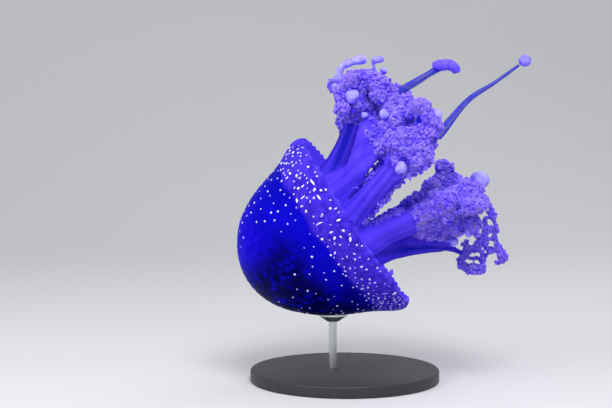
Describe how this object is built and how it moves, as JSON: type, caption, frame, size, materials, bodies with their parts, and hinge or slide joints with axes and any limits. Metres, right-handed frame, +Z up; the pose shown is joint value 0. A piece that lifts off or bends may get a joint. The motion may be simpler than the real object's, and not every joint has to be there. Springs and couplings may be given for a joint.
{
  "type": "jellyfish",
  "caption": "Life-size white-spotted jellyfish swimming with its frilled arms trailing, held over a round base by a short rod.",
  "frame": {"origin": "centre of the stand's round underside, at the surface it rests on", "axes": "+Z up; -Y towards the viewer of the side view; +X to that viewer's right, the way the arms trail"},
  "size_m": [0.2905, 0.1957, 0.3263],
  "materials": {
    "bell": "deep blue, moist and smooth, with granules and white spots",
    "margin": "violet blue, thin and moist, densely spotted with white",
    "stalk": "violet lavender with long darker blue stripes",
    "frill": "pale lilac, finely ruffled",
    "club": "pale, smooth and rounded",
    "trailer": "clear, deep blue",
    "stand_base": "satin black",
    "stand_rod": "satin"
  },
  "bodies": {
    "root": {"bell_dome": "bell", "bell_margin": "margin", "oral_disc": "stalk", "arm_1_stalk": "stalk", "arm_1_frill": "frill", "arm_2_stalk": "stalk", "arm_2_frill": "frill", "arm_3_stalk": "stalk", "arm_3_frill": "frill", "arm_4_stalk": "stalk", "arm_4_frill": "frill", "arm_5_stalk": "stalk", "arm_5_frill": "frill", "arm_6_stalk": "stalk", "arm_6_frill": "frill", "arm_7_stalk": "stalk", "arm_7_frill": "frill", "arm_8_stalk": "stalk", "arm_8_frill": "frill", "club_1": "club", "club_2": "club", "club_3": "club", "club_4": "club", "club_5": "club", "club_6": "club", "club_7": "club", "club_8": "club", "club_9": "club", "finger_1": "club", "finger_2": "club", "finger_3": "club", "trailer_1": "trailer", "trailer_2": "trailer", "trailer_2_club": "club", "stand_base": "stand_base", "stand_rod": "stand_rod", "stand_cradle": "stand_rod"}
  },
  "joints": []
}
